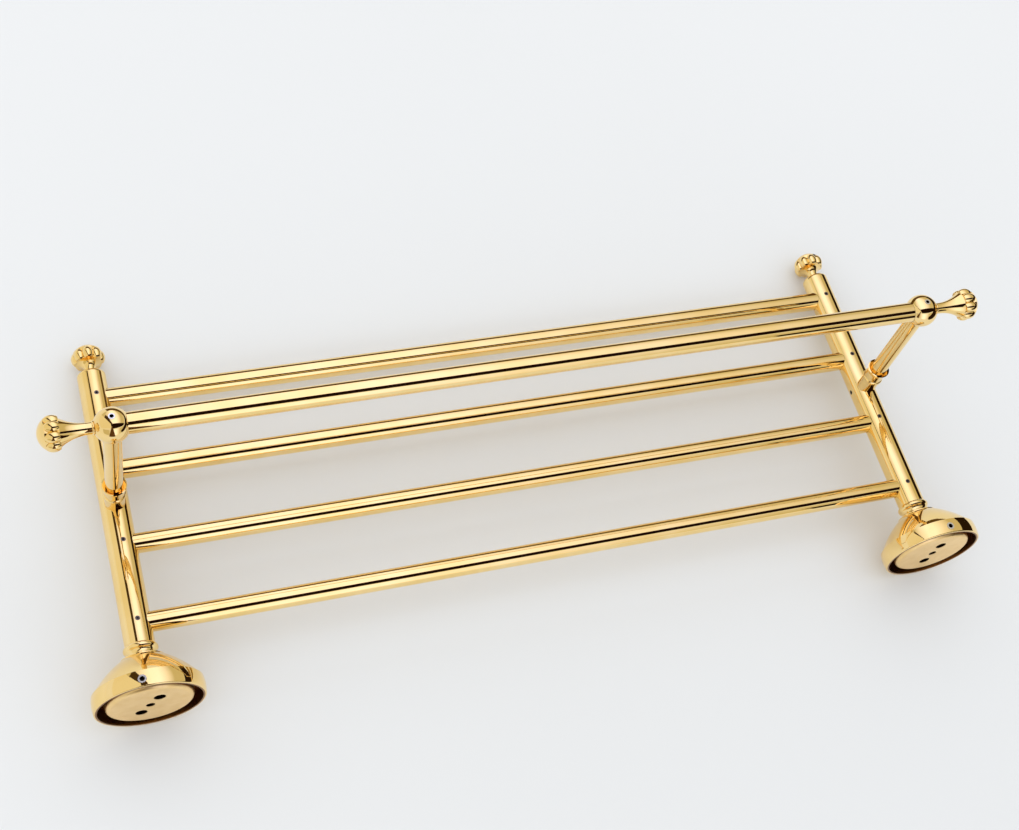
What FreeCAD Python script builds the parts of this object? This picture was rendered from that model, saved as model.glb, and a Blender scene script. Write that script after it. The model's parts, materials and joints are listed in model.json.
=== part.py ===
import FreeCAD, Part
import math
import os

# A wall-mounted shelf towel rack of polished gold tube: two arms stand out of the wall on domed
# flanges, four rails run between the arms as a shelf, and one towel bar runs beside the shelf
# between two balls on struts. All sizes are in millimetres.
# Frame: X along the rails, Y out of the wall, Z from the shelf towards the towel bar.
# The origin lies on the wall plane, midway between the two arms, at the height of their axes.

# The rack as a whole
arm_spacing = 530.0
rail_count = 4
first_rail_from_wall = 51.9
rail_pitch = 52.9
arm_past_last_rail = 19.6
bar_height = 104.2

# Tubes
arm_radius = 9.2
arm_wall = 1.5
rail_radius = 6.4
rail_wall = 1.2
bar_radius = 6.5
bar_wall = 1.2
strut_radius = 5.5
strut_wall = 1.2
tube_end_past_axis = 3.0

# Clearances and the overrun of every cut
slip_gap = 0.1
thread_gap = 0.05
seat_gap = 0.3
cut_overrun = 1.0

# Flange: a hollow bell with an open back, a rim band, a dome and a waisted neck
flange_rim_radius = 33.1
flange_rim_bulge = 0.5
flange_rim_depth = 10.0
flange_wall = 2.0
flange_edge_round = 0.7
flange_step_depth = 0.5
dome_top_radius = 13.5
dome_rise = 18.2
dome_fullness = 1.3
dome_step = 0.9
waist_inset = 0.2
neck_top_past_arm = 0.6
neck_length = 4.4

# Bead ring between the flange and the arm
bead_past_arm = 1.4
bead_width = 3.5

# Bush in the foot of the arm, and the screw that pulls the arm onto the flange
foot_bush_length = 10.2
clamp_screw_radius = 4.0
clamp_head_radius = 6.5
clamp_head_height = 8.0
clamp_socket_flats = 6.0
clamp_socket_depth = 4.0
clamp_end_gap = 0.6

# Wall plate: a shallow pressed cup whose flat face lies on the wall
plate_side_gap = 4.8
plate_wall = 2.5
plate_edge_round = 3.0
plate_mouth_round = 0.6
plate_hole_circle = 22.8
plate_hole_radius = 3.6
plate_centre_hole_radius = 2.7
left_plate_angle = 62.0
right_plate_angle = 84.0

# Flange screw that holds the flange on the wall plate
flange_screw_radius = 2.5
flange_screw_from_wall = 4.5
flange_screw_proud = 0.1
flange_screw_socket_flats = 2.5
flange_screw_socket_depth = 2.4
left_flange_screw_lean = 7.0
right_flange_screw_lean = 0.0

# Small hexagon socket screws on the arms
small_screw_radius = 1.5
small_socket_flats = 1.5
small_socket_depth = 1.4
small_screw_sink = 0.1
small_screw_tip_depth = 0.6
rail_screw_lean = 6.0

# Ball at each end of the towel bar, and its screw
ball_radius = 10.7
ball_screw_radius = 2.0
ball_socket_flats = 2.0
ball_socket_depth = 1.8
ball_floor = 0.5

# Socket that carries the foot of each strut
peg_radius = 4.0
peg_past_axis = 3.5
stub_past_strut = 0.85
stub_height = 9.2
socket_bead_past_strut = 1.6
socket_bead_width = 3.0
socket_groove_width = 1.8
cup_foot_past_strut = 0.9
cup_lip_past_strut = 2.2
cup_lip = 0.7
cup_height = 8.0
cup_flare_height = 4.0
cup_dish_depth = 1.4

# Plug in the outer end of each arm
plug_cap = 3.2
plug_cap_round = 2.7
plug_spigot_length = 9.0

# Finials: a ring, a trumpet neck and a head of barrel-shaped lobes with a shallow dome
finial_spigot_radius = 2.2
finial_spigot_length = 5.6
finial_ring_radius = 4.3
finial_ring_width = 1.4
finial_neck_radius = 3.6
bar_finial_neck = 19.3
arm_finial_neck = 8.1
finial_flare_radius = 8.4
finial_waist_share = 0.15
finial_head_radius = 10.9
finial_head_width = 8.4
finial_core_radius = 7.8
finial_dome_radius = 8.8
finial_dome_height = 4.3
finial_lobes = 8
finial_lobe_radius = 3.6
finial_lobe_foot_radius = 2.4
finial_lobe_top_radius = 1.7

# Places that follow from the sizes above
arm_axis_x = arm_spacing / 2
strut_from_wall = first_rail_from_wall + rail_pitch * (rail_count - 1) / 2
rail_places = [first_rail_from_wall + i * rail_pitch for i in range(rail_count)]
arm_length_out = rail_places[-1] + arm_past_last_rail
dome_start = flange_rim_depth
dome_top = dome_start + dome_rise
neck_start = dome_top + dome_step
arm_start = neck_start + neck_length
arm_tube_end = arm_length_out - plug_cap
arm_bore = arm_radius - arm_wall
waist_radius = arm_radius - waist_inset
neck_top_radius = arm_radius + neck_top_past_arm
bead_radius = arm_radius + bead_past_arm
stub_radius = strut_radius + stub_past_strut
stub_top = arm_radius + stub_height
socket_bead_radius = strut_radius + socket_bead_past_strut
cup_foot_radius = strut_radius + cup_foot_past_strut
cup_lip_radius = strut_radius + cup_lip_past_strut
flange_web = dome_top - flange_wall
plate_radius = flange_rim_radius - flange_wall - plate_side_gap
bar_end_x = arm_axis_x + tube_end_past_axis

# Directions
ORIGIN = FreeCAD.Vector(0, 0, 0)
X_AXIS = FreeCAD.Vector(1, 0, 0)
Y_AXIS = FreeCAD.Vector(0, 1, 0)
Z_AXIS = FreeCAD.Vector(0, 0, 1)
FULL_TURN = 360
HEX_SIDES = 6


def at(x, y, z):
    return FreeCAD.Vector(x, y, z)


def placed(shape, place, along):
    """A shape made about +Z, turned so that its axis runs along a direction from a place."""
    turning_axis = Z_AXIS.cross(along)
    if turning_axis.Length == 0:
        turning_axis = X_AXIS
    moved = shape.copy()
    moved.rotate(ORIGIN, turning_axis, math.degrees(Z_AXIS.getAngle(along)))
    moved.translate(place)
    return moved


def rod(radius, start, along, length):
    return Part.makeCylinder(radius, length, start, along)


def tube(radius, wall, start, along, length):
    return rod(radius, start, along, length).cut(rod(radius - wall, start, along, length))


def tangent_points(before, corner, after, radius):
    """Where a round of the given radius leaves the first side, its middle, and where it ends."""
    back = (before - corner).normalize()
    ahead = (after - corner).normalize()
    half = back.getAngle(ahead) / 2
    reach = radius / math.tan(half)
    bisector = (back + ahead).normalize()
    middle = corner + bisector * (radius / math.sin(half) - radius)
    return corner + back * reach, middle, corner + ahead * reach


def turned(outline):
    """Solid turned about +Z from rows of (radius, along).

    A row of three values is a corner with a round, and a row of four is an arc: its middle
    point, then its end point."""
    ends = [at(row[0], 0, row[1]) if len(row) < 4 else at(row[2], 0, row[3]) for row in outline]
    edges = []
    here = ends[0]
    for i, row in enumerate(outline[1:] + outline[:1]):
        end = ends[(i + 1) % len(ends)]
        if len(row) == 4:
            edges.append(Part.Arc(here, at(row[0], 0, row[1]), end).toShape())
        elif len(row) == 3:
            after = ends[(i + 2) % len(ends)]
            leave, middle, arrive = tangent_points(here, end, after, row[2])
            edges.append(Part.LineSegment(here, leave).toShape())
            edges.append(Part.Arc(leave, middle, arrive).toShape())
            end = arrive
        else:
            edges.append(Part.LineSegment(here, end).toShape())
        here = end
    return Part.Face(Part.Wire(edges)).revolve(ORIGIN, Z_AXIS, FULL_TURN)


def hexagon_hole(flats, depth, mouth, inward):
    """Cutter for a hexagon socket: depth inward from its mouth, with an overrun outward."""
    corner = flats / 2 / math.cos(math.pi / HEX_SIDES)
    points = [at(corner * math.cos(2 * math.pi * i / HEX_SIDES),
                 corner * math.sin(2 * math.pi * i / HEX_SIDES), -cut_overrun)
              for i in range(HEX_SIDES + 1)]
    prism = Part.Face(Part.makePolygon(points)).extrude(Z_AXIS * (depth + cut_overrun))
    return placed(prism, mouth, inward)


def socket_screw(radius, flats, socket_depth, mouth, inward, length):
    """Headless screw with a hexagon socket in its outer end."""
    body = rod(radius, mouth, inward, length)
    return body.cut(hexagon_hole(flats, socket_depth, mouth, inward))


def other_side(shape, side):
    """Shapes are made for the right side and mirrored for the left."""
    return shape if side == "right" else shape.mirror(ORIGIN, X_AXIS)


def dome_arc(inset):
    """Start, middle and end of the dome's arc, set in from its outer face."""
    start = (flange_rim_radius - flange_step_depth - inset, dome_start)
    end = (dome_top_radius, dome_top - inset)
    chord = math.hypot(start[0] - end[0], end[1] - start[1])
    lift = dome_fullness / chord
    middle = ((start[0] + end[0]) / 2 + (end[1] - start[1]) * lift,
              (start[1] + end[1]) / 2 + (start[0] - end[0]) * lift)
    return start, middle, end


def dome_inside_at(radius):
    """How far from the wall the inside of the dome is, at a radius from its axis."""
    start, middle, end = dome_arc(flange_wall)
    arc = Part.Arc(at(start[0], 0, start[1]), at(middle[0], 0, middle[1]), at(end[0], 0, end[1]))
    circle = arc.toShape().Curve
    side = radius - circle.Center.x
    return circle.Center.z + math.sqrt(circle.Radius ** 2 - side ** 2)


def flange(side):
    outer = dome_arc(0)
    inner = dome_arc(flange_wall)
    rim_inner = flange_rim_radius - flange_wall
    neck_middle = neck_start + neck_length / 2
    bell = turned([
        (rim_inner, 0),
        (flange_rim_radius, 0, flange_edge_round),
        (flange_rim_radius + flange_rim_bulge, flange_rim_depth / 2,
         flange_rim_radius, flange_rim_depth),
        (flange_rim_radius - flange_step_depth, flange_rim_depth),
        (outer[1][0], outer[1][1], outer[2][0], outer[2][1]),
        (dome_top_radius, neck_start - dome_step / 2),
        (dome_top_radius - dome_step, neck_start),
        (waist_radius, neck_middle, neck_top_radius, arm_start),
        (clamp_screw_radius + slip_gap, arm_start),
        (clamp_screw_radius + slip_gap, flange_web),
        (inner[2][0], inner[2][1]),
        (inner[1][0], inner[1][1], inner[0][0], inner[0][1]),
        (rim_inner, flange_rim_depth - flange_wall),
    ])
    bell = placed(bell, at(arm_axis_x if side == "right" else -arm_axis_x, 0, 0), Y_AXIS)
    place, outward = flange_screw_place(side)
    hole = rod(flange_screw_radius + thread_gap, place - outward * flange_rim_radius / 2, outward,
               flange_rim_radius)
    return bell.cut(hole)


def flange_screw_place(side):
    """Outer end of the flange screw, and the direction that points out of the flange there."""
    lean = -left_flange_screw_lean if side == "left" else right_flange_screw_lean
    sign = 1 if side == "right" else -1
    outward = at(math.sin(math.radians(lean)), 0, math.cos(math.radians(lean)))
    axis_place = at(sign * arm_axis_x, flange_screw_from_wall, 0)
    reach = flange_rim_radius + flange_rim_bulge + flange_screw_proud
    return axis_place + outward * reach, outward


def flange_screw(side):
    mouth, outward = flange_screw_place(side)
    reach = flange_rim_radius + flange_rim_bulge + flange_screw_proud
    length = reach - plate_radius - seat_gap
    return socket_screw(flange_screw_radius, flange_screw_socket_flats, flange_screw_socket_depth,
                        mouth, outward * -1, length)


def bead_ring():
    half = bead_width / 2
    inner = arm_radius + slip_gap
    ring = turned([
        (inner, 0),
        (neck_top_radius, 0),
        (bead_radius, half, neck_top_radius, bead_width),
        (inner, bead_width),
    ])
    return placed(ring, at(arm_axis_x, arm_start, 0), Y_AXIS)


def foot_bush():
    bush = tube(arm_bore - slip_gap, arm_bore - slip_gap - clamp_screw_radius - thread_gap,
                at(arm_axis_x, arm_start, 0), Y_AXIS, foot_bush_length)
    return bush


def clamp_screw():
    seat = at(arm_axis_x, flange_web, 0)
    shank_length = arm_start + foot_bush_length - clamp_end_gap - flange_web
    shank = rod(clamp_screw_radius, seat, Y_AXIS, shank_length)
    head = rod(clamp_head_radius, seat, Y_AXIS * -1, clamp_head_height)
    socket = hexagon_hole(clamp_socket_flats, clamp_socket_depth,
                          at(arm_axis_x, flange_web - clamp_head_height, 0), Y_AXIS)
    return head.fuse(shank).cut(socket)


def wall_plate(side):
    depth = dome_inside_at(plate_radius) - seat_gap
    inner = plate_radius - plate_wall
    cup = turned([
        (plate_centre_hole_radius, 0),
        (plate_radius, 0, plate_edge_round),
        (plate_radius, depth, plate_mouth_round),
        (inner, depth),
        (inner, plate_wall),
        (plate_centre_hole_radius, plate_wall),
    ])
    angle = math.radians(left_plate_angle if side == "left" else right_plate_angle)
    for turn in (0, math.pi):
        centre = at(math.cos(angle + turn), math.sin(angle + turn), 0) * (plate_hole_circle / 2)
        cup = cup.cut(rod(plate_hole_radius, centre - Z_AXIS * cut_overrun, Z_AXIS,
                          plate_wall + 2 * cut_overrun))
    cup = placed(cup, ORIGIN, Y_AXIS * -1)
    cup = cup.mirror(ORIGIN, Y_AXIS)
    cup.translate(at(arm_axis_x if side == "right" else -arm_axis_x, 0, 0))
    return cup


def arm_tube():
    whole = tube(arm_radius, arm_wall, at(arm_axis_x, arm_start, 0), Y_AXIS,
                 arm_tube_end - arm_start)
    for y in rail_places:
        whole = whole.cut(rod(rail_radius + slip_gap, at(arm_axis_x, y, 0), X_AXIS * -1,
                              arm_radius + cut_overrun))
        whole = whole.cut(rod(small_screw_radius + thread_gap, at(arm_axis_x, y, 0),
                              rail_screw_out(), arm_radius + cut_overrun))
    centre = at(arm_axis_x, strut_from_wall, 0)
    whole = whole.cut(rod(peg_radius + slip_gap, centre, Z_AXIS, arm_radius + cut_overrun))
    return whole.cut(rod(small_screw_radius + thread_gap, centre, X_AXIS * -1,
                         arm_radius + cut_overrun))


def arm_end_plug():
    bore = finial_spigot_radius + thread_gap
    plug = turned([
        (bore, -plug_spigot_length),
        (arm_bore - slip_gap, -plug_spigot_length),
        (arm_bore - slip_gap, 0),
        (arm_radius, 0),
        (arm_radius, plug_cap, plug_cap_round),
        (bore, plug_cap),
    ])
    return placed(plug, at(arm_axis_x, arm_tube_end, 0), Y_AXIS)


def rail(y):
    length = 2 * bar_end_x
    whole = tube(rail_radius, rail_wall, at(-bar_end_x, y, 0), X_AXIS, length)
    hole = rod(small_screw_radius + thread_gap, at(arm_axis_x, y, 0), rail_screw_out(),
               rail_radius + cut_overrun)
    return whole.cut(hole).cut(other_side(hole, "left"))


def rail_screw_out():
    """Direction from the right arm's axis to the mouths of its rail screws."""
    lean = math.radians(rail_screw_lean)
    return at(-math.sin(lean), 0, math.cos(lean))


def rail_screws():
    """One screw over each rail, in the face of the arm that looks towards the towel bar."""
    top = arm_radius - small_screw_sink
    length = top - (rail_radius - rail_wall) + small_screw_tip_depth
    out = rail_screw_out()
    return Part.makeCompound([
        socket_screw(small_screw_radius, small_socket_flats, small_socket_depth,
                     at(arm_axis_x, y, 0) + out * top, out * -1, length)
        for y in rail_places
    ])


def strut_screw():
    """Screw in the inner side of the arm, whose tip presses on the peg of the strut socket."""
    out = arm_radius - small_screw_sink
    return socket_screw(small_screw_radius, small_socket_flats, small_socket_depth,
                        at(arm_axis_x - out, strut_from_wall, 0), X_AXIS,
                        out - peg_radius - slip_gap)


def strut_socket():
    bead_foot = stub_top
    groove_foot = bead_foot + socket_bead_width
    cup_foot = groove_foot + socket_groove_width
    flare_foot = cup_foot + cup_height - cup_flare_height
    cup_top = cup_foot + cup_height
    bore = strut_radius + slip_gap
    half_bead = socket_bead_width / 2
    body = turned([
        (0, -peg_past_axis),
        (peg_radius, -peg_past_axis),
        (peg_radius, arm_bore - arm_wall),
        (stub_radius, arm_bore - arm_wall),
        (stub_radius, bead_foot),
        (socket_bead_radius, bead_foot + half_bead, stub_radius, groove_foot),
        (cup_foot_radius, cup_foot),
        (cup_foot_radius, flare_foot),
        (cup_lip_radius, cup_top - cup_lip / 2),
        (cup_lip_radius - cup_lip, cup_top),
        (bore, cup_top - cup_dish_depth),
        (bore, strut_foot()),
        (0, strut_foot()),
    ])
    body = placed(body, at(arm_axis_x, strut_from_wall, 0), Z_AXIS)
    saddle = rod(arm_radius + thread_gap, at(arm_axis_x, strut_from_wall - stub_radius * 2, 0),
                 Y_AXIS, stub_radius * 4)
    peg = rod(peg_radius, at(arm_axis_x, strut_from_wall, -peg_past_axis), Z_AXIS,
              peg_past_axis + arm_radius + cut_overrun)
    return body.cut(saddle).fuse(peg).removeSplitter()


def strut_foot():
    """Height at which the strut tube stands in its socket."""
    return stub_top


def strut_top():
    return bar_height - bar_radius - slip_gap - ball_floor


def strut_tube():
    return tube(strut_radius, strut_wall, at(arm_axis_x, strut_from_wall, strut_foot()), Z_AXIS,
                strut_top() - strut_foot())


def ball_centre():
    return at(arm_axis_x, strut_from_wall, bar_height)


def finial_seat_on_ball():
    """Distance from the ball's centre to the spot face under the finial's ring."""
    return math.sqrt(ball_radius ** 2 - (finial_ring_radius + slip_gap) ** 2)


def ball():
    centre = ball_centre()
    whole = Part.makeSphere(ball_radius, centre)
    whole = whole.cut(rod(bar_radius + slip_gap, centre + X_AXIS * tube_end_past_axis,
                          X_AXIS * -1, tube_end_past_axis + ball_radius + cut_overrun))
    whole = whole.cut(rod(strut_radius + slip_gap, at(arm_axis_x, strut_from_wall, strut_top()),
                          Z_AXIS * -1, ball_radius))
    whole = whole.cut(rod(ball_screw_radius + thread_gap, centre, Z_AXIS,
                          ball_radius + cut_overrun))
    seat = centre + X_AXIS * finial_seat_on_ball()
    whole = whole.cut(rod(finial_ring_radius + slip_gap, seat, X_AXIS, ball_radius))
    return whole.cut(rod(finial_spigot_radius + thread_gap, centre, X_AXIS, ball_radius))


def ball_screw():
    out = ball_radius - small_screw_sink
    length = out - (bar_radius - bar_wall) + small_screw_tip_depth
    return socket_screw(ball_screw_radius, ball_socket_flats, ball_socket_depth,
                        ball_centre() + Z_AXIS * out, Z_AXIS * -1, length)


def towel_bar():
    start = at(-bar_end_x, strut_from_wall, bar_height)
    whole = tube(bar_radius, bar_wall, start, X_AXIS, 2 * bar_end_x)
    for x in (-arm_axis_x, arm_axis_x):
        whole = whole.cut(rod(ball_screw_radius + thread_gap, at(x, strut_from_wall, bar_height),
                              Z_AXIS, bar_radius + cut_overrun))
    return whole


def finial(neck_length_here):
    """Finial about +Z, with its ring's foot at zero and its threaded spigot below."""
    head_foot = neck_length_here
    head_top = head_foot + finial_head_width
    ring_top = finial_ring_width
    waist = ring_top + (head_foot - ring_top) * finial_waist_share
    flare_middle = quarter_flare(finial_neck_radius, waist, finial_flare_radius, head_foot)
    dome_middle = cap_middle(finial_dome_radius, finial_dome_height)
    body = turned([
        (0, -finial_spigot_length),
        (finial_spigot_radius, -finial_spigot_length),
        (finial_spigot_radius, 0),
        (finial_neck_radius, 0),
        (finial_ring_radius, ring_top / 2, finial_neck_radius, ring_top),
        (finial_neck_radius, waist),
        (flare_middle[0], flare_middle[1], finial_flare_radius, head_foot),
        (finial_core_radius, (head_foot + head_top) / 2, finial_dome_radius, head_top),
        (dome_middle[0], head_top + dome_middle[1], 0, head_top + finial_dome_height),
    ])
    lobes = []
    for i in range(finial_lobes):
        lobe = finial_lobe(head_foot)
        lobe.rotate(ORIGIN, Z_AXIS, FULL_TURN * i / finial_lobes)
        lobes.append(lobe)
    return body.fuse(lobes).removeSplitter()


def quarter_flare(start_radius, start, end_radius, end):
    """Middle of an arc that leaves a straight neck without a corner and opens to an edge."""
    opening = end_radius - start_radius
    rise = end - start
    bend = (opening ** 2 + rise ** 2) / (2 * opening)
    half = math.asin(rise / bend) / 2
    return start_radius + bend * (1 - math.cos(half)), start + bend * math.sin(half)


def cap_middle(radius, height):
    """Middle of a spherical cap's arc, counted from the cap's foot."""
    sphere = (radius ** 2 + height ** 2) / (2 * height)
    half = math.asin(radius / sphere) / 2
    return sphere * math.sin(half), height - sphere * (1 - math.cos(half))


def finial_lobe(foot):
    """Barrel-shaped lobe of the head, beside the finial's axis."""
    barrel = turned([
        (0, 0),
        (finial_lobe_foot_radius, 0),
        (finial_lobe_radius, finial_head_width / 2, finial_lobe_top_radius, finial_head_width),
        (0, finial_head_width),
    ])
    barrel.translate(at(finial_head_radius - finial_lobe_radius, 0, foot))
    return barrel


def arm_finial():
    return placed(finial(arm_finial_neck), at(arm_axis_x, arm_length_out, 0), Y_AXIS)


def bar_finial():
    seat = ball_centre() + X_AXIS * finial_seat_on_ball()
    return placed(finial(bar_finial_neck), seat, X_AXIS)


def write(shape, node):
    shape.exportStep("parts/" + node + ".step")


def main():
    os.makedirs("parts", exist_ok=True)
    paired = {
        "arm_tube": arm_tube(),
        "arm_end_plug": arm_end_plug(),
        "arm_finial": arm_finial(),
        "bead_ring": bead_ring(),
        "foot_bush": foot_bush(),
        "clamp_screw": clamp_screw(),
        "rail_screws": rail_screws(),
        "strut_socket": strut_socket(),
        "strut_screw": strut_screw(),
        "strut_tube": strut_tube(),
        "ball": ball(),
        "ball_screw": ball_screw(),
        "bar_finial": bar_finial(),
    }
    for side in ("left", "right"):
        for name, shape in paired.items():
            write(other_side(shape, side), side + "_" + name)
        write(flange(side), side + "_flange")
        write(flange_screw(side), side + "_flange_screw")
        write(wall_plate(side), side + "_wall_plate")
    for number, y in enumerate(rail_places, start=1):
        write(rail(y), "shelf_rail_" + str(number))
    write(towel_bar(), "towel_bar")


main()
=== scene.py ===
import json
import math

import bpy
from mathutils import Euler, Matrix, Vector


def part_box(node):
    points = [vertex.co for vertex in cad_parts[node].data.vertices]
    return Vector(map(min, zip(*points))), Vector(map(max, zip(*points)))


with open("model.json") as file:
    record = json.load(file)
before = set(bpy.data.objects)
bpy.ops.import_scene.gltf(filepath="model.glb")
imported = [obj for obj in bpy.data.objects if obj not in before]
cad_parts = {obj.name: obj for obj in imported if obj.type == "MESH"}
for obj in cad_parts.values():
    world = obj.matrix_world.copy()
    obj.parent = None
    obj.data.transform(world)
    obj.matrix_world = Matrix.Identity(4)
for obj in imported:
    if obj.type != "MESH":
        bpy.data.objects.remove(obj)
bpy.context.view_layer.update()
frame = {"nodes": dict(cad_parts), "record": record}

# A wall-mounted shelf towel rack of polished gold tube. Metres, in the frame of the model:
# X along the rails, Y out of the wall, Z from the shelf towards the towel bar.
# In the photograph the rack lies on a white table, on the rims of its flanges and its arm finials.
# Every piece is a CAD node that keeps its shape, and this script gives it its finish.


# Camera: the photograph's own, found from the rails, arms and balls in it
PHOTO_WIDTH_PX = 1019
FOCAL_PX = 1601.35
SENSOR_WIDTH_MM = 36.0
CAMERA_PLACE = (-0.3219, -0.3290, 0.9188)
CAMERA_TURN_DEG = (30.6108, -11.0246, -15.9058)


def make_camera():
    data = bpy.data.cameras.new("photo_camera")
    data.sensor_width = SENSOR_WIDTH_MM
    data.lens = FOCAL_PX * SENSOR_WIDTH_MM / PHOTO_WIDTH_PX
    camera = bpy.data.objects.new("photo_camera", data)
    camera.location = CAMERA_PLACE
    camera.rotation_euler = Euler([math.radians(a) for a in CAMERA_TURN_DEG])
    bpy.context.scene.collection.objects.link(camera)
    bpy.context.scene.camera = camera


# Shader maths
class Value:
    """A socket of a finish. An expression on values adds the Math nodes that work it out."""

    def __init__(self, finish, socket):
        self.finish, self.socket = finish, socket

    def math(self, operation, *values):
        return self.finish.node("ShaderNodeMath", {"operation": operation}, dict(enumerate(values)))

    def __add__(self, other):
        return self.math("ADD", self, other)

    def __sub__(self, other):
        return self.math("SUBTRACT", self, other)

    def __rsub__(self, other):
        return self.math("SUBTRACT", other, self)

    def __mul__(self, other):
        return self.math("MULTIPLY", self, other)

    def __lt__(self, other):
        return self.math("LESS_THAN", self, other)

    def __gt__(self, other):
        return self.math("GREATER_THAN", self, other)

    def __abs__(self):
        return self.math("ABSOLUTE", self)

    def root(self):
        return self.math("SQRT", self)

    __radd__ = __add__
    __rmul__ = __mul__


class Finish:
    """The node tree of a material or a world. node() adds any node, the others the common ones."""

    def __init__(self, owner):
        owner.use_nodes = True
        self.tree = owner.node_tree
        self.tree.nodes.clear()

    def node(self, kind, settings=None, inputs=None, output=0):
        made = self.tree.nodes.new(kind)
        for name, setting in (settings or {}).items():
            setattr(made, name, setting)
        for name, given in (inputs or {}).items():
            if isinstance(given, Value):
                self.tree.links.new(given.socket, made.inputs[name])
            else:
                made.inputs[name].default_value = given
        return Value(self, made.outputs[output]) if len(made.outputs) else None

    def mix(self, share, first, second):
        """A colour between two colours."""
        return self.node("ShaderNodeMix", {"data_type": "RGBA"}, {0: share, 6: first, 7: second}, 2)

    def place(self):
        """The point on the object, in metres, in the model's frame."""
        return self.node("ShaderNodeTexCoord", output="Object")

    def coordinates(self):
        """The same point as three values."""
        split = self.node("ShaderNodeSeparateXYZ", {}, {0: self.place()})
        return [Value(self, output) for output in split.socket.node.outputs]

    def noise(self, size, detail, roughness=0.5):
        """Noise whose grains are about one size across, in metres."""
        return self.node("ShaderNodeTexNoise", {}, {
            "Vector": self.place(), "Scale": 1 / size, "Detail": detail, "Roughness": roughness})

    def between(self, value, source, target=(0.0, 1.0)):
        """A value carried from its source range to a target range, and held at the ends."""
        return self.node("ShaderNodeMapRange", {"clamp": True}, {
            "Value": value, "From Min": source[0], "From Max": source[1],
            "To Min": target[0], "To Max": target[1]})

    def bump(self, height, depth):
        """Surface direction from a height, for a relief of the given depth in metres."""
        return self.node("ShaderNodeBump", {}, {"Height": height, "Distance": depth, "Strength": 1.0})

    def metal(self, colour, roughness, relief):
        """The whole surface of a bare or plated metal."""
        self.show(self.node("ShaderNodeBsdfPrincipled", {}, {
            "Base Color": colour, "Metallic": 1.0, "Roughness": roughness, "Normal": relief}))

    def glow(self, colour):
        return self.node("ShaderNodeEmission", {}, {"Color": colour})

    def show(self, shader, output="ShaderNodeOutputMaterial"):
        self.node(output, {}, {"Surface": shader})


def new_material(name):
    material = bpy.data.materials.new(name)
    return material, Finish(material)


# Noise runs mostly within these ranges of its values: the first gives soft clouds, the second
# softer ones
CLOUD = (0.35, 0.65)
WIDE_CLOUD = (0.3, 0.7)


# Gold plate, polished
GOLD = (1.0, 0.745, 0.345, 1.0)
GOLD_DEEP = (0.96, 0.69, 0.27, 1.0)
GOLD_ROUGHNESS = (0.02, 0.05)
GOLD_TONE = {"size": 0.030, "detail": 3.0}
GOLD_HAZE = {"size": 0.006, "detail": 4.0, "roughness": 0.6}
GOLD_RIPPLE = {"size": 0.012, "detail": 1.0}
GOLD_RIPPLE_DEPTH = 0.00001

# Inside of the pressings, where they are raw, made darker still as painted shade of their recesses
RAW_INSIDE_WITH_SHADE = (0.34, 0.17, 0.05, 1.0)
RAW_INSIDE_WITH_SHADE_DARK = (0.22, 0.10, 0.03, 1.0)
PLATE_BACK_SHADE = (0.05, 0.025, 0.01, 1.0)
RAW_ROUGHNESS = 0.25


def gold_surface(f, inside=None):
    """Gold plate with faint polishing haze; where inside is 1, the raw inside of a pressing, darkened
    as painted shade.
    """
    tone, haze, ripple = f.noise(**GOLD_TONE), f.noise(**GOLD_HAZE), f.noise(**GOLD_RIPPLE)
    colour = f.mix(f.between(tone, CLOUD), GOLD, GOLD_DEEP)
    roughness = f.between(haze, CLOUD, GOLD_ROUGHNESS)
    if inside is not None:
        colour = f.mix(inside, colour, f.mix(tone, RAW_INSIDE_WITH_SHADE, RAW_INSIDE_WITH_SHADE_DARK))
        roughness = roughness + inside * RAW_ROUGHNESS
    f.metal(colour, roughness, f.bump(ripple, GOLD_RIPPLE_DEPTH))


def polished_gold():
    material, f = new_material("polished_gold_plate")
    gold_surface(f)
    return material


# Flange: the surface midway through its wall parts the polished outside from the raw inside, which is
# darkened as painted shade.
# It is a straight rim, and from there a dome that narrows by its slope and swells by its bulge.
ARM_AXIS_X = 0.265
RIM_MIDDLE_RADIUS = 0.0321
DOME_START, DOME_DEPTH = 0.010, 0.0162
DOME_MIDDLE_RADIUS = 0.0316
DOME_SLOPE = 1.05
DOME_BULGE = 0.0019


def arm_axis_radius(x, z):
    """Distance from the nearer arm's axis."""
    side = abs(x) - ARM_AXIS_X
    return (side * side + z * z).root()


def flange_gold():
    material, f = new_material("polished_flange_gold")
    x, y, z = f.coordinates()
    radius, depth = arm_axis_radius(x, z), y - DOME_START
    share = f.between(depth, (0.0, DOME_DEPTH))
    bulge = share * (1 - share) * (4 * DOME_BULGE)
    dome_radius = DOME_MIDDLE_RADIUS - depth * DOME_SLOPE + bulge
    in_rim = (depth < 0.0) * (radius < RIM_MIDDLE_RADIUS)
    in_dome = (depth > 0.0) * (depth < DOME_DEPTH) * (dome_radius > radius)
    # Raw inside of rim and dome, darkened as painted shade
    gold_surface(f, in_rim + in_dome)
    return material


# Wall plate: its satin face lies on the wall plane, and behind it the pressing and its holes are
# painted near-black as shade
PLATE_GOLD = (1.0, 0.73, 0.36, 1.0)
PLATE_GOLD_DARK = (0.92, 0.64, 0.27, 1.0)
PLATE_ROUGHNESS = (0.28, 0.44)
PLATE_TONE = {"size": 0.009, "detail": 3.0}
PLATE_GRAIN = {"size": 0.0006, "detail": 3.0, "roughness": 0.7}
PLATE_GRAIN_DEPTH = 0.000012
PLATE_FACE_RADIUS = 0.0225
PLATE_EDGE_DEPTH = 0.0003


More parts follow.
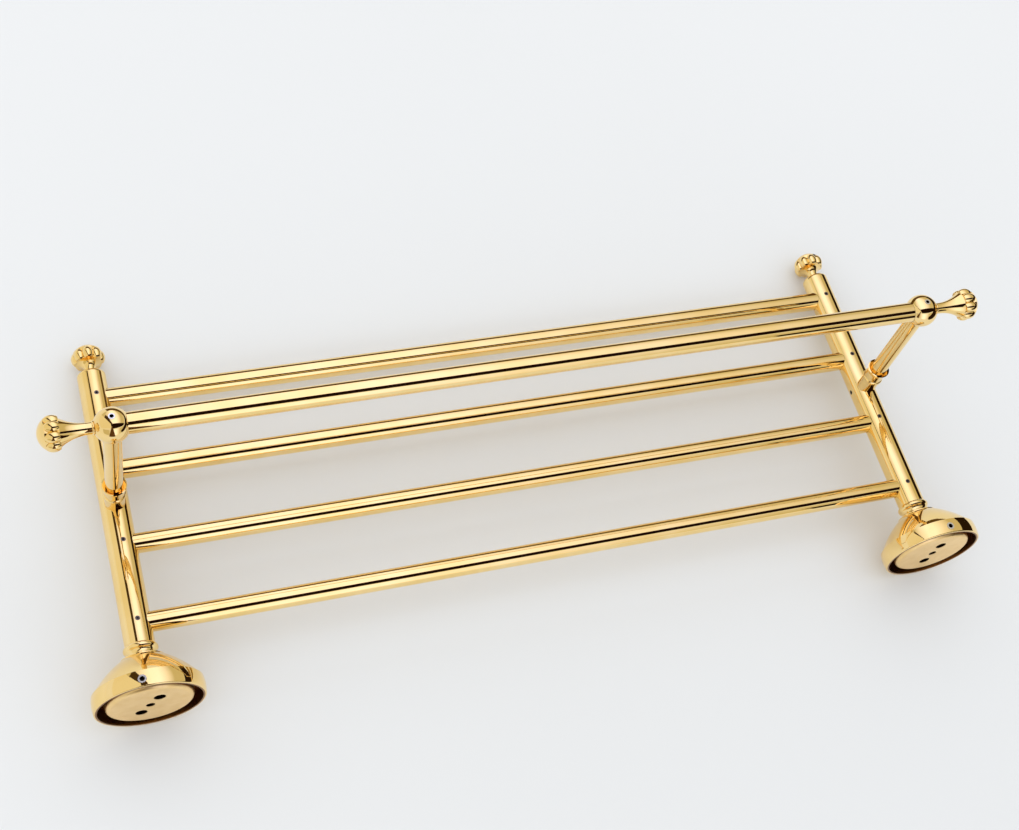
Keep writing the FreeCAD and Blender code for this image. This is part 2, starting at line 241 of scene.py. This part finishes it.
def satin_plate():
    material, f = new_material("satin_gold_pressing")
    tone, grain = f.noise(**PLATE_TONE), f.noise(**PLATE_GRAIN)
    x, y, z = f.coordinates()
    # Painted shade: the back of the plate, seen through its holes, is near-black
    shade_behind = (y > PLATE_EDGE_DEPTH) * (arm_axis_radius(x, z) < PLATE_FACE_RADIUS)
    face = f.mix(f.between(tone, WIDE_CLOUD), PLATE_GOLD, PLATE_GOLD_DARK)
    f.metal(f.mix(shade_behind, face, PLATE_BACK_SHADE), f.between(grain, WIDE_CLOUD, PLATE_ROUGHNESS),
            f.bump(grain, PLATE_GRAIN_DEPTH))
    return material


# Screws: bright steel with painted shade in the hexagon socket, and the blackened small ones in the
# arms
SCREW_STEEL = (0.82, 0.80, 0.77, 1.0)
SCREW_STEEL_DARK = (0.62, 0.60, 0.57, 1.0)
SMALL_SCREW_STEEL = (0.20, 0.17, 0.14, 1.0)
SMALL_SCREW_STEEL_DARK = (0.09, 0.07, 0.06, 1.0)
STEEL_ROUGHNESS = (0.14, 0.30)
STEEL_TONE = {"size": 0.0011, "detail": 4.0, "roughness": 0.65}
STEEL_RELIEF_DEPTH = 0.00001
SOCKET_PAINTED_SHADE = (0.02, 0.016, 0.014, 1.0)
SOCKET_RADIUS = {"_flange_screw": 0.0015, "_ball_screw": 0.0012}


def steel_surface(f, light, dark, socket=None):
    """Turned steel; where socket is 1, painted shade inside a hexagon socket."""
    tone = f.noise(**STEEL_TONE)
    colour = f.mix(f.between(tone, WIDE_CLOUD), light, dark)
    if socket is not None:
        colour = f.mix(socket, colour, SOCKET_PAINTED_SHADE)
    f.metal(colour, f.between(tone, WIDE_CLOUD, STEEL_ROUGHNESS), f.bump(tone, STEEL_RELIEF_DEPTH))


def bright_screw(node, socket_radius):
    """Finish of one screw, upright or leaning a little to the left, with its mouth on top."""
    material, f = new_material("steel_of_" + node)
    low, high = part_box(node)
    radius = (high[1] - low[1]) / 2
    x, y, z = f.coordinates()
    side, depth = x - (low[0] + radius), y - (low[1] + radius)
    # Painted shade: a disc over the socket mouth
    in_socket_shade = side * side + depth * depth < socket_radius ** 2
    steel_surface(f, SCREW_STEEL, SCREW_STEEL_DARK, in_socket_shade)
    return material


def small_screw_steel():
    material, f = new_material("blackened_screw_steel")
    steel_surface(f, SMALL_SCREW_STEEL, SMALL_SCREW_STEEL_DARK)
    return material


def inner_steel():
    material, f = new_material("zinc_steel")
    steel_surface(f, SCREW_STEEL, SCREW_STEEL_DARK)
    return material


# What each CAD piece is finished with
FINISH_OF_SLOT = {
    "polished_gold": polished_gold,
    "satin_plate": satin_plate,
    "small_screw": small_screw_steel,
    "inner_steel": inner_steel,
}


def finish_of(node, slot, made):
    """The material of one node; made holds those that many nodes share."""
    for ending, socket_radius in SOCKET_RADIUS.items():
        if node.endswith(ending):
            return bright_screw(node, socket_radius)
    finish = flange_gold if node.endswith("_flange") else FINISH_OF_SLOT[slot]
    if finish not in made:
        made[finish] = finish()
    return made[finish]


def finish_cad_pieces():
    made = {}
    for row in frame["record"]["subparts"]:
        mesh = frame["nodes"][row["node"]].data
        mesh.materials.clear()
        mesh.materials.append(finish_of(row["node"], row["material_slot"], made))


# Table top, in the tilted plane that the rack rests on. Far from the rack it turns into the
# even white of the background, for the camera and in the metal.
BACKGROUND_WHITE = (0.86, 0.87, 0.88, 1.0)
TABLE_WHITE = (0.82, 0.83, 0.84, 1.0)
TABLE_WHITE_LOW = (0.80, 0.81, 0.815, 1.0)
TABLE_TONE = {"size": 0.35, "detail": 2.0}
TABLE_ROUGHNESS = 0.6
TABLE_HALF_SIZE = 12.0
TABLE_MIDDLE_Y = 0.12
TABLE_FADE = (0.60, 1.05)
TABLE_GAP = 0.0003

# Y and Z of the lowest points of a flange and of an arm finial
FLANGE_REST = (0.006, -0.0337)
FINIAL_REST = (0.2430, -0.0110)


def table_height(y):
    slope = (FINIAL_REST[1] - FLANGE_REST[1]) / (FINIAL_REST[0] - FLANGE_REST[0])
    return FLANGE_REST[1] + slope * (y - FLANGE_REST[0]) - TABLE_GAP


def flat_mesh(name, corners):
    """A staged object of one face, and the finish of its material."""
    mesh = bpy.data.meshes.new(name)
    mesh.from_pydata(corners, [], [tuple(range(len(corners)))])
    made = bpy.data.objects.new(name, mesh)
    bpy.context.scene.collection.objects.link(made)
    material, f = new_material(name)
    mesh.materials.append(material)
    return made, f


def make_table():
    half = TABLE_HALF_SIZE
    corners = [(-half, -half), (half, -half), (half, half), (-half, half)]
    f = flat_mesh("white_table", [(x, y, table_height(y)) for x, y in corners])[1]
    near = f.node("ShaderNodeBsdfPrincipled", {}, {
        "Base Color": f.mix(f.noise(**TABLE_TONE), TABLE_WHITE, TABLE_WHITE_LOW),
        "Roughness": TABLE_ROUGHNESS, "Specular IOR Level": 0.0})
    x, y, z = f.coordinates()
    y = y - TABLE_MIDDLE_Y
    away = (x * x + y * y).root()
    camera_ray = f.node("ShaderNodeLightPath", output="Is Camera Ray")
    glossy_ray = f.node("ShaderNodeLightPath", output="Is Glossy Ray")
    share = f.between(away, TABLE_FADE) * (camera_ray + glossy_ray)
    f.show(f.node("ShaderNodeMixShader", {}, {0: share, 1: near, 2: f.glow(BACKGROUND_WHITE)}))


# Light: three soft panels light the table, each given by its middle and two half sides
PANELS = {
    "overhead_panel": {"middle": (0.8, 1.1, 1.0), "light": 0.32,
                       "across": (1.21, 0, 0), "along": (0, 1.25, 0)},
    "front_panel": {"middle": (0.3, -1.28, 0.42), "light": 0.24,
                    "across": (-1.7, 0, 0), "along": (0, -0.43, -0.46)},
    "left_panel": {"middle": (-0.82, 0.4, 0.30), "light": 0.24,
                   "across": (0, 1.3, 0), "along": (-0.38, 0, -0.32)},
}


def soft_panel(name, middle, across, along, light):
    """Rectangular soft light. It shines against the cross product of across and along."""
    across, along = Vector(across), Vector(along)
    data = bpy.data.lights.new(name, "AREA")
    data.shape = "RECTANGLE"
    data.size, data.size_y = 2 * across.length, 2 * along.length
    data.energy = light * math.pi * data.size * data.size_y
    panel = bpy.data.objects.new(name, data)
    x, y = across.normalized(), along.normalized()
    panel.matrix_world = Matrix((x, y, x.cross(y))).transposed().to_4x4()
    panel.location = middle
    panel.visible_camera = False
    panel.visible_glossy = False
    bpy.context.scene.collection.objects.link(panel)


# Painted reflections: flat glowing cards that light nothing and that only the metal shows, pale ones
# in place of the panels, and dark ones for the gaps between them, which draw the dark lines on the
# metal
# Colours of the pale painted reflections
BRIGHT_PAINTED_REFLECTION = (1.30, 1.32, 1.65, 1.0)
DIM_PAINTED_REFLECTION = (0.62, 0.57, 0.40, 1.0)
LEFT_PAINTED_REFLECTION = (0.84, 0.80, 0.66, 1.0)
# Colours of the dark painted reflections
SLOT_BLACK = (0.012, 0.005, 0.002, 1.0)
EDGE_BLACK = (0.02, 0.01, 0.004, 1.0)
SEAM_BROWN = (0.06, 0.035, 0.012, 1.0)
STAND_BROWN = (0.10, 0.05, 0.02, 1.0)
HORIZON_BROWN = (0.11, 0.065, 0.018, 1.0)

# A pale card is bright to this distance from X = 0, and dim from the other one on: a painted falloff
# of its highlight
BRIGHT_TO_DIM = (0.15, 0.95)

# Pale cards: their height, and how far they reach
SKY_HEIGHT = 0.96
SKY_LEFT, SKY_RIGHT, SKY_FAR = -2.6, 3.2, 3.4
LEFT_CARD_REACH, LEFT_CARD_NEAR = 1.0, 0.6
FRONT_CARD_FOOT = (-1.8, -0.1)
FRONT_CARD_DROP = 0.1

# Dark slot above the camera, and the seam that runs from its corner to the far left, both painted
# dark reflections; the seam hangs down in the plane of the right arm, which so sees it edge-on
SLOT_LEFT, SLOT_NEAR, SLOT_FAR = -0.41, -0.18, -0.92
SLOT_GAP = 0.005
SEAM_END = (-1.00, 0.80)
SEAM_DROP = 0.30

# Upright dark cards: painted dark reflections of a stand below the camera, of the right end and of
# the far side
STAND_FOOT = {"left": -0.50, "right": -0.18, "y": -0.45, "z": -0.05}
STAND_TOP = {"left": -0.36, "right": -0.28, "y": -0.40, "z": 0.86}
RIGHT_CARD = {"x": 0.68, "y": (-0.9, 1.6), "z": (-0.08, 0.27)}
FAR_CARD = {"x": (-0.35, 1.6), "y": 0.62, "z": (-0.1, 0.24)}


def card(name, corners, colour, highlight_middle_colour=None):
    """Flat glowing card, a painted reflection that only the metal shows. With a second colour it has
    that one in its middle, as a painted highlight.
    """
    made, f = flat_mesh(name, corners)
    made.visible_camera = False
    made.visible_diffuse = False
    made.visible_shadow = False
    if highlight_middle_colour:
        share = f.between(abs(f.coordinates()[0]), BRIGHT_TO_DIM)
        colour = f.mix(share, highlight_middle_colour, colour)
    f.show(f.glow(colour))


def make_pale_cards():
    z = SKY_HEIGHT
    seam_slope = (SEAM_END[0] - SLOT_LEFT) / (SEAM_END[1] - SLOT_NEAR)
    seam_far = (SLOT_LEFT + seam_slope * (SKY_FAR - SLOT_NEAR), SKY_FAR, z)
    seam_near = (SLOT_LEFT, SLOT_NEAR, z)
    card("overhead_card", [
        seam_near, (SKY_RIGHT, SLOT_NEAR, z), (SKY_RIGHT, SKY_FAR, z), seam_far],
        DIM_PAINTED_REFLECTION, BRIGHT_PAINTED_REFLECTION)
    foot_y, foot_z = FRONT_CARD_FOOT
    top_y, top_z = SLOT_FAR - FRONT_CARD_DROP, z - FRONT_CARD_DROP
    card("front_card", [
        (SKY_LEFT, foot_y, foot_z), (SKY_RIGHT, foot_y, foot_z),
        (SKY_RIGHT, top_y, top_z), (SKY_LEFT, top_y, top_z)],
        DIM_PAINTED_REFLECTION, BRIGHT_PAINTED_REFLECTION)
    left, near = SKY_LEFT - LEFT_CARD_REACH, SLOT_NEAR - LEFT_CARD_NEAR
    card("left_card", [
        seam_near, seam_far, (left, SKY_FAR, z), (left, near, z), (SLOT_LEFT, near, z)],
        LEFT_PAINTED_REFLECTION)


# Dark painted reflections, seen only in the metal
def make_dark_cards():
    z = SKY_HEIGHT
    low_near, low_far = [x + (ARM_AXIS_X - x) * SEAM_DROP for x in (SLOT_LEFT, SEAM_END[0])]
    low = z - z * SEAM_DROP
    card("left_seam", [
        (SLOT_LEFT, SLOT_NEAR, z), (*SEAM_END, z),
        (low_far, SEAM_END[1], low), (low_near, SLOT_NEAR, low)],
        SEAM_BROWN)
    z = z - SLOT_GAP
    card("camera_slot", [
        (SLOT_LEFT, SLOT_FAR, z), (SKY_RIGHT, SLOT_FAR, z),
        (SKY_RIGHT, SLOT_NEAR, z), (SLOT_LEFT, SLOT_NEAR, z)],
        SLOT_BLACK)
    foot, top = STAND_FOOT, STAND_TOP
    card("camera_stand", [
        (foot["left"], foot["y"], foot["z"]), (foot["right"], foot["y"], foot["z"]),
        (top["right"], top["y"], top["z"]), (top["left"], top["y"], top["z"])],
        STAND_BROWN)
    x, (near, far), (low, high) = RIGHT_CARD.values()
    card("right_card", [(x, near, low), (x, far, low), (x, far, high), (x, near, high)], EDGE_BLACK)
    (left, right), y, (low, high) = FAR_CARD.values()
    card("far_card", [(left, y, low), (right, y, low), (right, y, high), (left, y, high)],
         HORIZON_BROWN)


def make_light():
    for name, panel in PANELS.items():
        soft_panel(name, **panel)
    make_pale_cards()
    make_dark_cards()
    world = bpy.data.worlds.new("pale_studio")
    bpy.context.scene.world = world
    f = Finish(world)
    f.show(f.node("ShaderNodeBackground", {}, {"Color": BACKGROUND_WHITE}), "ShaderNodeOutputWorld")


make_camera()
make_table()
make_light()
finish_cad_pieces()
bpy.context.scene.view_settings.view_transform = "Standard"
